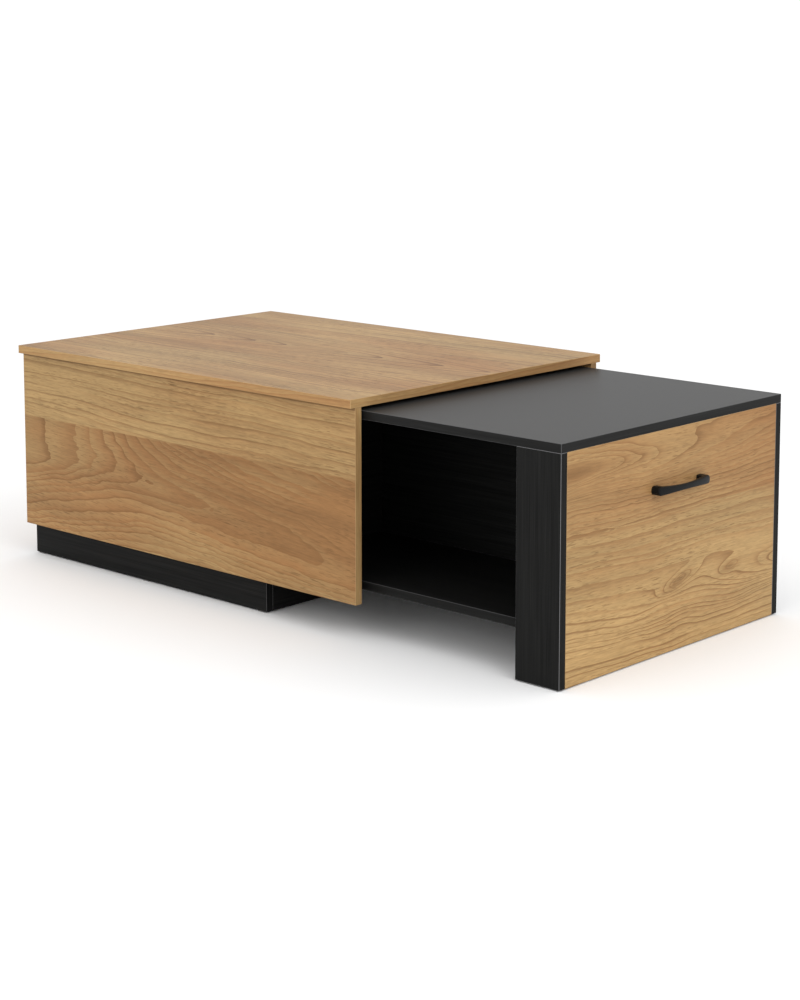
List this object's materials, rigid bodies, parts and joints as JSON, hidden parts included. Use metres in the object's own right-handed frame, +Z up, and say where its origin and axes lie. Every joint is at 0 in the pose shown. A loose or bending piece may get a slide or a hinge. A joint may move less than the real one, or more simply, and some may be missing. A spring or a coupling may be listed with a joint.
{
  "type": "sliding top coffee table",
  "caption": "Low coffee table in oak-effect and black boards whose inner shelf unit, with its own top, pulls out of one end on rollers.",
  "frame": {"origin": "on the floor, at the middle of the table's whole box with the slide pulled out as stored", "axes": "+X along the slide towards the handle end, +Y from front to rear, +Z up"},
  "size_m": [1.406, 0.71, 0.437],
  "materials": {
    "oak_laminate": "matt oak-effect laminate on particle board",
    "black_laminate": "black wood-grain laminate on particle board",
    "black_handle_paint": "matt black paint on cast zinc",
    "plated_steel": "zinc-plated steel",
    "beech": "plain beech",
    "stained_beech": "black-stained beech",
    "grey_rubber": "soft grey rubber",
    "grey_felt": "pressed grey felt",
    "pale_nylon": "moulded nylon",
    "black_nylon": "moulded black nylon"
  },
  "bodies": {
    "cover": {"closing_bumpers": "grey_rubber", "cover_biscuits": "beech", "cover_floor": "black_laminate", "cover_front_panel": "oak_laminate", "cover_guide_pads": "pale_nylon", "cover_left_end": "oak_laminate", "cover_rear_panel": "oak_laminate", "cover_top": "oak_laminate", "plinth_biscuits": "beech", "plinth_front": "black_laminate", "plinth_glides": "grey_felt", "plinth_glue_blocks": "beech", "plinth_left_cross": "black_laminate", "plinth_middle_cross": "black_laminate", "plinth_rear": "black_laminate", "plinth_right_cross": "black_laminate", "travel_stops": "stained_beech"},
    "slide": {"fork_screws": "plated_steel", "handle": "black_handle_paint", "handle_screws": "plated_steel", "roller_axles": "plated_steel", "roller_forks": "black_nylon", "slide_biscuits": "beech", "slide_catches": "stained_beech", "slide_end_panel": "oak_laminate", "slide_front_upright": "black_laminate", "slide_guide_pads": "pale_nylon", "slide_inner_end": "black_laminate", "slide_partition": "black_laminate", "slide_rear_upright": "black_laminate", "slide_runners": "pale_nylon", "slide_shelf": "black_laminate", "slide_top": "black_laminate"},
    "front_wheel": {"roller_wheel_front": "pale_nylon"},
    "rear_wheel": {"roller_wheel_rear": "pale_nylon"}
  },
  "joints": [
    {"name": "slide", "type": "slide", "parent": "cover", "child": "slide", "axis": [1, 0, 0], "range_m": [-0.442, 0]},
    {"name": "front_wheel_spin", "type": "hinge", "parent": "slide", "child": "front_wheel", "pos_m": [0.633, -0.294, 0.02], "axis": [0, 1, 0], "range_deg": [-1270, 0]},
    {"name": "rear_wheel_spin", "type": "hinge", "parent": "slide", "child": "rear_wheel", "pos_m": [0.633, 0.294, 0.02], "axis": [0, 1, 0], "range_deg": [-1270, 0]}
  ],
  "couplings": [
    {"joint": "front_wheel_spin", "follows": "slide", "rad_per_m": 50},
    {"joint": "rear_wheel_spin", "follows": "slide", "rad_per_m": 50}
  ]
}
